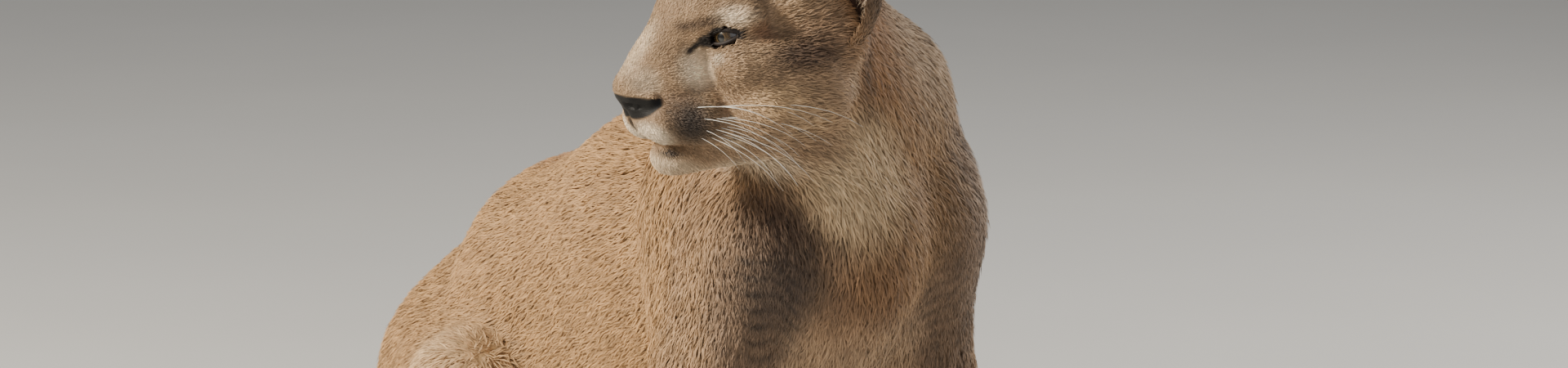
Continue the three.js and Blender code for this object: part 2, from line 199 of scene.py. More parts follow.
# Body: bone, muscle and fat under one skin from nose to tail tip. Each mass is a tapered capsule
# between two points of the skeleton, in millimetres, given from head to tail and from top to
# foot, the way the coat lies. The masses melt into one another as flesh does.
RNG = np.random.default_rng(7)
SIDES = {"left": 1, "right": -1}
EYES = np.array((-148.0, -188.0, 636.0))  # midpoint between the eyes


def from_head(x, y, z):
    """A point given forward, to the left and up from between the eyes."""
    return np.array((EYES[0] - x, EYES[1] - y, EYES[2] + z))


def to_head(points):
    """Points of the body as forward, left and up from between the eyes."""
    away = points - EYES
    return np.stack((-away[:, 0], -away[:, 1], away[:, 2]), axis=1)


class Mass:
    """A tapered capsule of flesh, flattened across the body, that melts into what it joins."""

    def __init__(self, start, end, start_radius, end_radius, flat=1.0, blend=12.0):
        self.start = np.array(start, float)
        self.along = np.array(end, float) - self.start
        self.radii = (start_radius, end_radius)
        self.flat = flat
        self.blend = blend
        self.middle = self.start + self.along / 2
        self.reach = np.linalg.norm(self.along) / 2 + max(self.radii) * max(flat, 1) + blend

    def distance(self, points):
        """How far points lie outside the capsule, below zero inside."""
        q = points - self.start
        widen = np.array((1 / self.flat, 1, 1))
        wide_q = q * widen
        wide_along = self.along * widen
        t = np.clip(wide_q @ wide_along / max(wide_along @ wide_along, 1e-9), 0, 1)[:, None]
        radius = self.radii[0] + t[:, 0] * (self.radii[1] - self.radii[0])
        inflated = np.linalg.norm(wide_q - t * wide_along, axis=1)
        if self.flat == 1.0:
            return inflated - radius
        real = np.linalg.norm(q - t * self.along, axis=1)
        return (inflated - radius) * real / np.maximum(inflated, 1e-6)


def smooth_join(p, q, blend):
    """The nearer of two distances, rounded off where they are alike."""
    near = np.maximum(blend - np.abs(p - q), 0) / blend
    return np.minimum(p, q) - near * near * blend / 4


trunk = [
    Mass((0, -92, 448), (0, 110, 404), 110, 119, flat=0.9),
    Mass((0, 110, 404), (0, 300, 326), 119, 119, flat=1.02, blend=30),
    Mass((0, 300, 326), (0, 425, 242), 119, 114, blend=30),
    Mass((0, 425, 242), (0, 455, 91), 114, 94, flat=1.05, blend=40),
    Mass((0, -20, 372), (0, 250, 252), 92, 112, flat=1.05, blend=40),
    Mass((0, -70, 528), (0, 110, 462), 38, 42, blend=40),
    Mass((0, -172, 436), (0, -104, 330), 70, 62, blend=40),
]
neck = [
    Mass((0, -146, 552), (0, -95, 476), 82, 104, blend=30),
    Mass((-54, -188, 620), (0, -146, 552), 67, 82, blend=20),
    Mass((-72, -194, 568), (-2, -184, 474), 46, 60, blend=25),
    Mass((-36, -186, 654), (46, -136, 566), 36, 58, blend=30),
    Mass((46, -136, 566), (76, -140, 500), 54, 54, blend=30),
]


def foreleg(s):
    """Shoulder blade, upper arm, forearm and paw of one side."""
    shoulder = np.array((s * 84, -158, 446))
    elbow = np.array((s * 99, -112, 305))
    middle = np.array((s * 90, -116, 185))
    wrist = np.array((s * 86, -124, 98))
    paw = np.array((s * 86, -156, 26))
    masses = [
        Mass((s * 58, -34, 524), shoulder + (-s * 6, 8, 10), 44, 56, flat=0.72, blend=36),
        Mass(shoulder, elbow, 52, 54, flat=0.82, blend=42),
        Mass((s * 84, -60, 462), elbow + (-s * 2, 18, 26), 54, 44, flat=0.75, blend=52),
        Mass(elbow + (0, -8, 4), middle, 47, 33, blend=16),
        Mass(middle, wrist, 33, 29, blend=12),
        Mass(wrist, paw + (0, 10, 12), 29, 33, blend=12),
        Mass(paw + (0, 4, -6), paw + (0, -6, -6), 22, 22, blend=10),
    ]
    for across, forward, radius in ((-33, 26, 16), (-11, 40, 17), (12, 40, 17), (34, 24, 16)):
        root = paw + (across * 0.55, 8, 8)
        masses.append(Mass(root, paw + (across, -forward, -12), radius + 2, radius, blend=5))
    return masses


def hindleg(s):
    """Thigh, shin and the long flat foot of one side."""
    hip = np.array((s * 76, 415, 222))
    knee = np.array((s * 150, 250, 254))
    hock = np.array((s * 122, 382, 29))
    paw = np.array((s * 150, 196, 24))
    masses = [
        Mass(hip, knee, 94, 56, flat=0.82, blend=36),
        Mass(hip + (s * 10, 0, -90), knee + (-s * 10, 40, -70), 60, 45, flat=0.8, blend=36),
        Mass(knee + (0, 6, 0), hock + (0, -6, 34), 52, 31, blend=20),
        Mass(hock, paw + (0, 30, 4), 30, 28, blend=14),
        Mass(paw + (0, 8, -4), paw + (0, -4, -4), 21, 21, blend=10),
    ]
    for across, forward, radius in ((-30, 24, 15), (-10, 36, 16), (11, 36, 16), (31, 22, 15)):
        root = paw + (across * 0.6, 10, 8)
        masses.append(Mass(root, paw + (across, -forward, -10), radius + 2, radius, blend=5))
    return masses


def curve_through(stations, count):
    """Evenly spaced points on a smooth curve through the stations, ends included."""
    stations = np.array(stations, float)
    padded = np.vstack((2 * stations[0] - stations[1], stations, 2 * stations[-1] - stations[-2]))
    fine = []
    for i in range(len(stations) - 1):
        p0, p1, p2, p3 = padded[i:i + 4]
        t = np.linspace(0, 1, 40, endpoint=i == len(stations) - 2)[:, None]
        fine.append(0.5 * (
            2 * p1 + (p2 - p0) * t + (2 * p0 - 5 * p1 + 4 * p2 - p3) * t ** 2
            + (3 * p1 - p0 - 3 * p2 + p3) * t ** 3
        ))
    fine = np.vstack(fine)
    run = np.concatenate(([0], np.cumsum(np.linalg.norm(np.diff(fine, axis=0), axis=1))))
    even = np.linspace(0, run[-1], count + 1)
    return np.stack([np.interp(even, run, fine[:, k]) for k in range(3)], axis=1)


TAIL_PARTS = 14
TAIL_STATIONS = (
    (0, 455, 160), (0, 528, 82), (44, 580, 34), (150, 570, 26),
    (236, 470, 25), (272, 320, 23), (262, 150, 21),
)
tail_course = curve_through(TAIL_STATIONS, TAIL_PARTS)


def tail_radius(t):
    """The tail's thickness from root, 0, to tip, 1: thick where it leaves the rump, then even."""
    return 27 - 6 * t + 18 * math.exp(-12 * t)


tail = []
for i in range(TAIL_PARTS):
    thick, thin = tail_radius(i / TAIL_PARTS), tail_radius((i + 1) / TAIL_PARTS)
    tail.append(Mass(tail_course[i], tail_course[i + 1], thick, thin, blend=24 if i < 3 else 8))


def skull(start, end, start_radius, end_radius, blend):
    """A mass of the head, between two places forward, left and up from between the eyes."""
    return Mass(from_head(*start), from_head(*end), start_radius, end_radius, blend=blend)


head = [
    skull((-30, 0, 12), (-84, 0, 6), 50, 56, 15),
    skull((-9, 0, 13), (-9, 0, 13), 38, 38, 20),
    skull((11, 0, 2), (58, 0, -42), 29, 17, 12),
    skull((25, 0, -42), (40, 0, -60), 36, 24, 12),
    skull((-90, 0, -30), (-20, 0, -66), 58, 44, 20),
    skull((26, 0, -101), (12, 0, -101), 15, 16, 5),
]
for s in SIDES.values():
    head += [
        skull((2, s * 26, 17), (-22, s * 44, 14), 16, 16, 10),
        skull((36, s * 17, -68), (8, s * 27, -66), 21, 24, 8),
        skull((-18, s * 46, -24), (-70, s * 60, -22), 24, 25, 14),
        skull((-40, s * 46, -58), (-78, s * 46, -50), 33, 36, 14),
        skull((22, s * 8, -101), (-55, s * 36, -84), 14, 20, 6),
        skull((-72, s * 42, 26), (-98, s * 52, -4), 28, 30, 14),
    ]

masses = trunk + neck
for s in SIDES.values():
    masses += foreleg(s)
for s in SIDES.values():
    masses += hindleg(s)
masses += tail + head


def form(points):
    """How far points lie outside the body with its coat on, below zero inside."""
    d = np.full(len(points), 1e6)
    for m in masses:
        near = np.nonzero(np.linalg.norm(points - m.middle, axis=1) - m.reach < d)[0]
        if len(near):
            d[near] = smooth_join(d[near], m.distance(points[near]), m.blend)
    return d


def step(low, high, value):
    """0 below low, 1 above high and smooth between."""
    t = np.clip((value - low) / (high - low), 0, 1)
    return t * t * (3 - 2 * t)


def line_distance(points, start, end):
    """How far points are from a straight line between two places."""
    start = np.array(start, float)
    along = np.array(end, float) - start
    t = np.clip((points - start) @ along / (along @ along), 0, 1)[:, None]
    return np.linalg.norm(points - start - t * along, axis=1)


def course_distance(points, course):
    """How far points are from a line of several straight stretches."""
    return np.min([line_distance(points, a, b) for a, b in zip(course, course[1:])], axis=0)


EYE_PLACE = np.array((-15.0, 36.0, 0.0))  # of the left eye, forward, left and up
EYE_RADIUS = 17.0
EYE_TURN = math.radians(27)  # how far the eyes look outward
LID_LENGTH = 15.5
LID_HEIGHTS = (5.8, 5.2)  # above and below the line between the corners
LID_SLANT = 0.2  # the outer corner is the higher one
MOUTH_COURSE = [(-12, 44, -86), (2, 42, -92), (22, 34, -95), (38, 18, -93), (47, 0, -88)]
NOSTRIL = ((68, 7, -56), (54, 16, -53), (44, 22, -55))  # from its opening back along its slit
LIP_GROOVE = ((64, 0, -62), (48, 0, -88))
NOSE_WING = ((62, 10, -47), (52, 20, -49))


def one_side(h):
    """Places of the head with its right half turned over on to the left."""
    return np.stack((h[:, 0], np.abs(h[:, 1]), h[:, 2]), axis=1)


def head_share(h, back=(-150, -105), low=(-135, -105), wide=(100, 120)):
    """1 on the head and 0 on the body, smooth across the neck."""
    return step(*back, h[:, 0]) * step(*low, h[:, 2]) * (1 - step(*wide, np.abs(h[:, 1])))


def coat_depth(points):
    """How deep the skin lies under the tips of the coat."""
    h = to_head(points)
    face = step(-100, -30, h[:, 0]) * step(-140, -110, h[:, 2])
    legs = 1 - step(250, 330, points[:, 2])
    feet = 1 - step(70, 130, points[:, 2])
    return (5.5 - 1.5 * legs - 1.2 * feet) * (1 - face) + 1.5 * face


def almond(h):
    """How far points of the left half of the head are outside the opening of the lids."""
    q = h - EYE_PLACE
    forward = q[:, 0] * math.cos(EYE_TURN) + q[:, 1] * math.sin(EYE_TURN)
    across = -q[:, 0] * math.sin(EYE_TURN) + q[:, 1] * math.cos(EYE_TURN)
    up = q[:, 2] - LID_SLANT * across
    span = np.clip(1 - (across / LID_LENGTH) ** 2, 0, 1) ** 0.9
    opening = np.maximum(up - LID_HEIGHTS[0] * span, -up - LID_HEIGHTS[1] * span)
    opening = np.maximum(opening, np.abs(across) - LID_LENGTH)
    return np.maximum(opening, 6 - forward)


def in_box(h, back, wide, low, high):
    """Which places of the head are ahead of one, within a width and between two heights."""
    return (h[:, 0] > back) & (np.abs(h[:, 1]) < wide) & (h[:, 2] > low) & (h[:, 2] < high)


def skin_form(points):
    """How far points lie outside the skin, with the lids, nostrils and lips in it."""
    d = form(points) + coat_depth(points)
    h = to_head(points)
    near = np.nonzero(in_box(h, -50, 75, -125, 40))[0]
    if not len(near):
        return d
    f = one_side(h[near])
    e = d[near]
    ball = np.linalg.norm(f - EYE_PLACE, axis=1) - EYE_RADIUS
    e = smooth_join(e, ball - 2.4, 5)
    e = np.maximum(e, -np.maximum(almond(f), ball - 6))
    e = np.maximum(e, -(ball - 0.35))
    mouth = course_distance(f, MOUTH_COURSE) - 1.5
    e = -smooth_join(-e, mouth, 3)
    opening = line_distance(f, *NOSTRIL[:2]) - 3.2
    e = -smooth_join(-e, opening, 2)
    slit = line_distance(f, *NOSTRIL[1:]) - 1.5
    e = -smooth_join(-e, slit, 2)
    groove = line_distance(f, *LIP_GROOVE) - 1.3
    e = -smooth_join(-e, groove, 4)
    wing = line_distance(f, *NOSE_WING) - 4.8
    e = smooth_join(e, wing, 6)
    d[near] = e
    return d


# Skin: the hide under the coat, one closed net round the body with lids, nostrils and lips.
# It is made of small cells that are drawn on to the form, finer on the head and finest on the face.
CELL = 5.8  # mm, of the net; the head and face are two and four times finer
NET_LOW = (-260, -300, -30)
NET_HIGH = (325, 645, 745)
HEAD_BOX = (-125, 100, -130, 90)  # back, width to each side, low and high, from between the eyes
FACE_BOX = (-40, 66, -125, 34)
FLOOR_GAP = 0.2  # mm between the skin's underside and the floor


def skin_net(low, high, cell):
    """Places and four-sided faces of a net round the skin, by cubes of one cell."""
    coarse = 4
    counts = [int(math.ceil((b - a) / cell / coarse)) * coarse + 1 for a, b in zip(low, high)]
    axes = [a + cell * np.arange(n) for a, n in zip(low, counts)]
    sparse = [axis[::coarse] for axis in axes]
    grid = np.stack(np.meshgrid(*sparse, indexing="ij"), axis=-1)
    rough = form(grid.reshape(-1, 3)).reshape(grid.shape[:3])
    nearest = np.round(np.indices(counts) / coarse).astype(int)
    value = rough[nearest[0], nearest[1], nearest[2]]
    close = np.abs(value) < cell * coarse * 1.3 + 12
    where = np.argwhere(close)
    places = np.stack([axes[k][where[:, k]] for k in range(3)], axis=1)
    value[close] = skin_form(places)
    inside = value < 0
    corners = [(i, j, k) for i in (0, 1) for j in (0, 1) for k in (0, 1)]

    def corner(array, c):
        return array[tuple(slice(c[k], counts[k] - 1 + c[k]) for k in range(3))]

    filled = sum(corner(inside, c).astype(np.int8) for c in corners)
    cells = np.argwhere((filled > 0) & (filled < 8))
    total = np.zeros((len(cells), 3))
    crossings = np.zeros(len(cells))
    for c in corners:
        for axis in range(3):
            if c[axis]:
                continue
            other = list(c)
            other[axis] = 1
            a = value[tuple((cells + c).T)]
            b = value[tuple((cells + other).T)]
            cut = (a < 0) != (b < 0)
            t = np.where(cut, a / np.where(cut, a - b, 1), 0)
            at = np.array(c, float) + t[:, None] * (np.array(other) - np.array(c))
            total += np.where(cut[:, None], at, 0)
            crossings += cut
    points = np.array(low) + (cells + total / crossings[:, None]) * cell
    number = np.full([n - 1 for n in counts], -1)
    number[tuple(cells.T)] = np.arange(len(cells))
    faces = []
    for axis in range(3):
        u, v = (axis + 1) % 3, (axis + 2) % 3
        first = [slice(1, -1)] * 3
        first[axis] = slice(0, -1)
        second = [slice(1, -1)] * 3
        second[axis] = slice(1, None)
        a, b = inside[tuple(first)], inside[tuple(second)]
        for flip in (False, True):
            edges = np.argwhere((a & ~b) if not flip else (~a & b))
            edges[:, u] += 1
            edges[:, v] += 1
            ring = []
            for du, dv in ((0, 0), (1, 0), (1, 1), (0, 1)):
                at = edges.copy()
                at[:, u] -= du
                at[:, v] -= dv
                ring.append(number[tuple(at.T)])
            quad = np.stack(ring, axis=1)
            faces.append(quad[:, ::-1] if flip else quad)
    return points, np.vstack(faces)


def slope(field, points, reach=0.4):
    """The way a field grows fastest, with its steepness."""
    return np.stack([
        field(points + reach * np.eye(3)[k]) - field(points - reach * np.eye(3)[k]) for k in range(3)
    ], axis=1) / (2 * reach)


def draw_on(points, most, rounds=2):
    """Moves points on to the skin."""
    for _ in range(rounds):
        g = slope(skin_form, points)
        steep = np.maximum((g * g).sum(axis=1), 0.2)
        points = points - (np.clip(skin_form(points) / steep, -most, most))[:, None] * g
    return points


def evened(points, edges, share=0.5):
    """Moves each point towards the middle of its neighbours."""
    total = np.zeros_like(points)
    count = np.zeros(len(points))
    for a, b in ((0, 1), (1, 0)):
        for k in range(3):
            total[:, k] += np.bincount(edges[:, a], points[edges[:, b], k], len(points))
        count += np.bincount(edges[:, a], minlength=len(points))
    return points + share * (total / np.maximum(count, 1)[:, None] - points)


def rows(items, key, width=3, kind=float):
    """One property of all points, edges or faces of a mesh, a row for each."""
    found = np.empty(len(items) * width, kind)
    items.foreach_get(key, found)
    return found.reshape(-1, width)


def split_faces(mesh, chosen):
    """Cuts the chosen faces of a mesh into four."""
    made = bmesh.new()
    made.from_mesh(mesh)
    made.faces.ensure_lookup_table()
    edges = {edge for i in chosen for edge in made.faces[i].edges}
    bmesh.ops.subdivide_edges(made, edges=list(edges), cuts=1, use_grid_fill=True)
    made.to_mesh(mesh)
    made.free()


def triangulate(mesh, outwards=False):
    made = bmesh.new()
    made.from_mesh(mesh)
    bmesh.ops.triangulate(made, faces=made.faces)
    if outwards:
        bmesh.ops.recalc_face_normals(made, faces=made.faces)
    made.to_mesh(mesh)
    made.free()


points, quads = skin_net(NET_LOW, NET_HIGH, CELL)
skin_mesh = bpy.data.meshes.new("skin")
skin_mesh.from_pydata(points.tolist(), [], quads.tolist())
skin_mesh.update()
points = rows(skin_mesh.vertices, "co")
for _ in range(3):
    points = draw_on(evened(points, rows(skin_mesh.edges, "vertices", 2, int)), CELL * 0.6, 1)
skin_mesh.vertices.foreach_set("co", points.ravel())
skin_mesh.update()
for region in (HEAD_BOX, FACE_BOX):
    middles = to_head(rows(skin_mesh.polygons, "center"))
    split_faces(skin_mesh, np.nonzero(in_box(middles, *region))[0])
    points = rows(skin_mesh.vertices, "co")
    fine = in_box(to_head(points), *region)
    points[fine] = draw_on(points[fine], CELL * 0.5, 2)
    even = evened(points, rows(skin_mesh.edges, "vertices", 2, int), 0.4)
    points[fine] = draw_on(even[fine], CELL * 0.3, 2)
    skin_mesh.vertices.foreach_set("co", points.ravel())
    skin_mesh.update()
triangulate(skin_mesh, outwards=True)
points = rows(skin_mesh.vertices, "co")
points[:, 2] = np.maximum(points[:, 2], FLOOR_GAP)


# Markings: tawny back with a darker crest, pale belly, throat and chin, dark patches on the muzzle,
# and bars across the forelegs. Painted shade darkens the cheeks below the ears, the creases of the neck,
# the breast and the right arm and shoulder, and painted light brightens the bridge of the nose, the fur
# below the eyes and the left of the neck and shoulder. Skin and coat carry the same ones.
def tone(red, green, blue):
    """An everyday colour as three linear numbers."""
    return np.array(colour(red, green, blue)[:3])


def blob(points, middle, radii, soft=0.5):
    """1 at a middle point and 0 outside an ellipsoid round it, smooth between."""
    away = np.linalg.norm((points - np.array(middle)) / np.array(radii), axis=1)
    return 1 - step(1 - soft, 1, away)


def stripes(value, period, width):
    """Bars that come back each period along a value, as wide as a share of it."""
    wave = np.abs((value / period + 0.5) % 1 - 0.5) * 2
    return 1 - step(width * 0.6, width * 1.3, wave)


def wash(base, shade, share):
    """Lays a shade over the base colours by a share at each point."""
    base += share[:, None] * (shade - base)


def side_line(f, start, end):
    """How far the side of the head is from a line between two places forward and up of the eyes."""
    flat = f * (1, 0, 1)
    near = line_distance(flat, (start[0], 0, start[1]), (end[0], 0, end[1]))
    return near + 40 * (1 - step(6, 16, f[:, 1]))


def face_marks(h, base):
    """The coat's colours on the head, with painted shade on the cheeks and painted light on the nose and
    below the eyes, from places forward, left and up of the eyes.
    """
    f = one_side(h)
    x, y, z = f.T
    marks = [
        (tone(160, 131, 100), step(-140, -90, x) * step(-125, -95, z)),  # the head as a whole
        (tone(122, 92, 68), blob(f, (-84, 66, -6), (50, 42, 46), 0.8) * 0.6),  # behind the cheek
        (tone(200, 168, 128), blob(f, (-66, 56, -68), (46, 38, 25), 0.7) * 0.9),  # jaw
        (tone(208, 184, 152), blob(f, (44, 0, -14), (54, 17, 34), 0.6) * 0.9),  # bridge of the nose, pale fur lightened as painted light on top
        (tone(206, 184, 156), blob(f, (45, 12, -36), (30, 17, 20), 0.6) * 0.85),  # side of the nose, pale fur lightened as painted light
        (tone(200, 166, 124), blob(f, (-38, 78, -52), (44, 36, 22), 0.8) * 0.8),  # cheek
        (tone(70, 50, 38), blob(f, (-58, 78, -13), (44, 36, 23), 0.8) * 0.85),  # painted shadow band on the cheek below the ear
        (tone(134, 88, 60), blob(f, (-32, 62, 5), (18, 24, 12), 0.9) * 0.6),  # temple
        (tone(250, 230, 200), blob(f, (15, 31, -27), (24, 19, 27), 1.0)),  # before the eye
        (tone(232, 216, 192), blob(f, (-8, 44, -18), (22, 14, 9), 0.8) * 0.9),  # below the eye, a pale patch lightened as painted light
        (tone(246, 226, 196), blob(f, (-16, 42, 17), (30, 24, 14), 0.8)),  # above the eye
        (tone(66, 49, 38), (1 - step(0.5, 8, side_line(f, (25, 8), (4, 15)))) * 0.75),  # brow
        (tone(128, 102, 80), blob(f, (26, 26, -38), (16, 9, 20), 0.8) * 0.6),  # fold behind the nose
        (tone(124, 98, 76), blob(f, (28, 30, -58), (30, 22, 24), 0.7) * 0.85),  # whisker pad
        (tone(214, 196, 170), blob(f, (48, 18, -80), (24, 24, 17), 0.5)),  # upper lip
        (tone(110, 86, 68), blob(f, (46, 18, -56), (22, 14, 13), 0.7) * 0.8),  # beside the nostril
        (tone(34, 26, 22), blob(f, (20, 36, -68), (35, 28, 29), 0.7) * 0.95),  # dark patch of the muzzle
        (tone(196, 172, 140), blob(f, (-12, 44, -88), (14, 14, 8), 0.6) * 0.8),  # corner of the mouth
        (tone(196, 174, 144), blob(f, (24, 0, -110), (44, 36, 17), 0.5)),  # chin
        (tone(206, 186, 158), blob(f, (-40, 20, -118), (62, 56, 26), 0.6) * 0.9),  # throat
    ]
    for shade, share in marks:
        wash(base, shade, share)
    spots = np.zeros(len(f))
    for row, high in enumerate((-66, -73, -80)):
        for k in range(5):
            spots += blob(f, (45 - 9 * k - 3 * row, 24 + 3.6 * k, high), (3.0, 4.0, 2.2), 0.8)
    wash(base, tone(70, 52, 42), np.clip(spots, 0, 1) * 0.55)
    lips = 1 - step(2.6, 5.2, course_distance(f, MOUTH_COURSE))
    tear = 1 - step(0.5, 4.5, side_line(f, (12, -4), (20, -12)))
    tear = np.maximum(tear, 1 - step(3.5, 8, side_line(f, (-1, -1), (9, -3))))
    under_lip = 1 - step(3, 7.5, line_distance(f, (42, 8, -93.5), (24, 28, -97)))
    lips = np.maximum(lips, under_lip)
    by_eye = 1 - step(22, 27, np.linalg.norm(f - EYE_PLACE, axis=1))
    rims = (1 - step(2.2, 5.0, almond(f))) * by_eye
    wash(base, tone(30, 22, 18), np.maximum(lips, np.maximum(rims, tear)))
    return base


def coat_colour(points):
    """The colours of the coat over the body, greyer on the right arm, which is in shade in the photo:
    painted shade darkens the right arm, shoulder, breast and neck creases, and painted light brightens
    the left of the neck and shoulder.
    """
    x, y, z = points.T
    h = to_head(points)
    base = np.tile(tone(172, 133, 87), (len(points), 1))
    spine_height = np.interp(y, (-150, 0, 110, 300, 430, 520), (600, 560, 524, 455, 365, 250))
    crest = step(-80, -6, z - spine_height) * (1 - step(24, 74, np.abs(x)))
    lower = step(235, 300, spine_height - z + 0.5 * (90 - np.abs(x)))
    lower = lower * step(-120, -60, y) * (1 - step(380, 430, y))
    in_front = 1 - step(-120, -84, y)
    arm = sum(blob(points, (s * 92, -190, 380), (60, 60, 130), 0.5) for s in (-1, 1))
    inner = (1 - step(56, 76, np.abs(x))) * (1 - step(350, 410, z))
    inner = inner * (1 - step(60, 120, y)) * step(60, 120, z)
    thigh_inner = (1 - step(62, 104, np.abs(x))) * (1 - step(180, 260, z))
    thigh_inner = thigh_inner * step(120, 180, y) * (1 - step(420, 470, y))
    marks = [
        (tone(146, 116, 86), in_front * step(200, 280, z) * 0.65),  # forelegs
        (tone(150, 106, 66), crest * 0.7),  # crest of the back
        (tone(204, 178, 142), lower * 0.8),  # belly and flank
        (tone(116, 94, 76), np.clip(arm, 0, 1) * 0.8),  # upper arms
        (tone(128, 94, 64), blob(points, (-10, -225, 400), (54, 90, 100), 0.7) * 0.8),  # breast, its brown darkened as painted shade below the head
        (tone(206, 178, 140), blob(points, (-24, -236, 508), (66, 70, 80), 0.7)),  # bib
        (tone(176, 150, 120), blob(points, (50, -150, 600), (96, 100, 110), 0.6) * 0.85),  # neck's left, greyer fur lightened as painted light from above
        (tone(160, 136, 114), blob(points, (112, -150, 470), (56, 90, 120), 0.6) * 0.9),  # left shoulder, greyer fur lightened as painted light
        (tone(92, 75, 62), blob(points, (-84, -222, 410), (72, 52, 98), 0.7) * 0.9),  # painted shade on the right arm
        (tone(92, 70, 54), blob(points, (-96, -206, 486), (56, 50, 56), 0.8) * 0.7),  # painted shade on the right shoulder under the jaw
        (tone(178, 150, 120), inner * 0.6),  # inside of the forelegs
        (tone(206, 184, 152), thigh_inner * 0.8),  # inside of the thighs
        (tone(222, 192, 152), blob(points, (-165, 250, 262), (80, 112, 84), 1.0) * 0.7),  # knees
        (tone(222, 192, 152), blob(points, (165, 250, 262), (80, 112, 84), 1.0) * 0.7),
        (tone(164, 128, 92), (1 - step(60, 120, z)) * (1 - step(120, 240, y)) * 0.4),  # feet
    ]
    for shade, share in marks:
        wash(base, shade, share)
    ragged = 0.5 + 0.5 * np.sin(z / 23 + x / 9) * np.sin(x / 12 - y / 17)
    wavy = z + 6 * np.sin(x / 17 + z / 40) + 3 * np.sin(x / 6 + z / 22) - 0.35 * np.abs(x)
    to_front = step(-52, -26, 0.883 * x - 0.469 * y - 28) * step(114, 140, -y)
    barred = in_front * (1 - step(436, 478, z)) * step(212, 260, z) * step(44, 62, np.abs(x)) * to_front
    bars = stripes(wavy, 13, 0.36) * barred * (0.3 + 0.7 * ragged) * (1 - 0.55 * step(0, 60, x))
    wash(base, tone(26, 20, 17), bars)
    ruff = 1 - step(5, 13, line_distance(h, (-108, 64, -8), (-114, 60, -52)))
    wash(base, tone(196, 172, 144), ruff * 0.6)
    # A dark band behind the pale ruff: painted shade in the crease where the head meets the neck.
    behind = 1 - step(4, 13, line_distance(h, (-124, 58, 2), (-134, 50, -74)))
    wash(base, tone(78, 60, 46), behind * 0.6)
    # Painted shade in the crease between the throat and the right shoulder.
    shade_in_crease = 1 - step(6, 20, line_distance(points, (-92, -214, 482), (-40, -235, 448)))
    wash(base, tone(70, 50, 38), shade_in_crease * 0.6)
    along = (z - 500) * 0.6 + (x - 60) * 0.9 + 4 * np.sin(y / 19)
    neck_side = blob(points, (100, -160, 500), (58, 90, 84), 0.7)
    wash(base, tone(76, 56, 42), stripes(along, 17, 0.34) * neck_side * 0.6)
    tail_end = blob(points, tail_course[-1], (60, 120, 60), 0.35)
    wash(base, tone(40, 28, 22), tail_end * 0.9)
    wash(base, face_marks(h, base.copy()), head_share(h))
    return base


def leather_share(points):
    """1 on the bare nose and 0 on the coat."""
    f = one_side(to_head(points))
    x, y, z = f.T
    low = -67 + 0.5 * np.maximum(54 - x, 0) + 0.02 * (y - 8) ** 2
    pad = step(43, 46, x) * (1 - step(-47, -44.5, z + 0.1 * y)) * step(-1.2, 1.2, z - low)
    below = 1 - step(2.5, 5, line_distance(f, (64, 0, -66), (56, 0, -78)))
    return np.maximum(pad, below)


def painted(mesh, colours):
    """Gives a mesh one colour a corner point, which its material reads as "coat"."""
    layer = mesh.color_attributes.new("coat", "FLOAT_COLOR", "POINT")
    full = np.ones((len(colours), 4), np.float32)
    full[:, :3] = colours
    layer.data.foreach_set("color", full.ravel())


def scene_places(points):
    """Points of the body, in millimetres, as places in the scene."""
    return points * MM + np.array(SHIFT)


UNDERCOAT = 0.8  # how light the skin is between the tufts, as a share of the coat

skin_mesh.vertices.foreach_set("co", points.ravel())
skin_mesh.update()
skin_normals = rows(skin_mesh.vertices, "normal")
triangles = rows(skin_mesh.polygons, "vertices", 3, int)
under = coat_colour(points) * UNDERCOAT
wash(under, tone(13, 11, 10), leather_share(points))
painted(skin_mesh, under)
skin = bpy.data.objects.new("skin", skin_mesh)
bpy.context.scene.collection.objects.link(skin)
bpy.context.view_layer.objects.active = skin
skin.select_set(True)
skin_mesh.vertices.foreach_set("co", scene_places(points).ravel())
bpy.ops.object.shade_smooth()
bpy.ops.object.mode_set(mode="EDIT")
bpy.ops.mesh.select_all(action="SELECT")
bpy.ops.uv.smart_project(angle_limit=math.radians(66), island_margin=0.002)
bpy.ops.object.mode_set(mode="OBJECT")
bpy.ops.object.select_all(action="DESELECT")
skin_uv = rows(skin_mesh.uv_layers[0].data, "uv", 2).reshape(-1, 3, 2)
skin_finish = Finish("skin", Roughness=0.55, Specular_IOR_Level=0.25)
paint = skin_finish.node("ShaderNodeVertexColor", {"layer_name": "coat"}, {})
skin_finish.feed("Base Color", paint)
pores = skin_finish.node("ShaderNodeTexVoronoi", {}, {"Scale": 900.0}) * 0.6
pores = pores + skin_finish.noise(600.0) * 0.4
skin_finish.bump(pores, 0.5, 0.0006)
skin_mesh.materials.append(skin_finish.material)
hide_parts(*[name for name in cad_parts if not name.startswith(("eye", "ear"))])
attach(skin, "root")


# Coat: short tawny fur, lying back from the nose and down the legs. Each tuft is a thin bent
# blade rooted in the skin, and the tufts overlap as thatch does.
ROOT_DEPTH = 0.8  # mm of each tuft inside the skin
BEND = 0.45  # where a tuft bends down, as a share of its length
HAIR_TURN = 0.20  # how much tufts stray from the lie, and lean over, in radians
HAIR_LEAN = 0.25
PATCH = 0.0015  # half the width of a tuft on the map OFBake
PIECE_TUFTS = 60000  # the most tufts in one piece
LIES = [(m, m.along) for m in trunk + neck + tail if np.linalg.norm(m.along) > 12]
for s in SIDES.values():
    LIES += [(m, m.along) for m in foreleg(s) if np.linalg.norm(m.along) > 12]
    thigh, ham, *lower_leg = hindleg(s)
    LIES += [(thigh, np.array((0.0, 0.75, -0.65))), (ham, np.array((0.0, 0.5, -0.85)))]
    LIES += [(m, m.along) for m in lower_leg if np.linalg.norm(m.along) > 12]


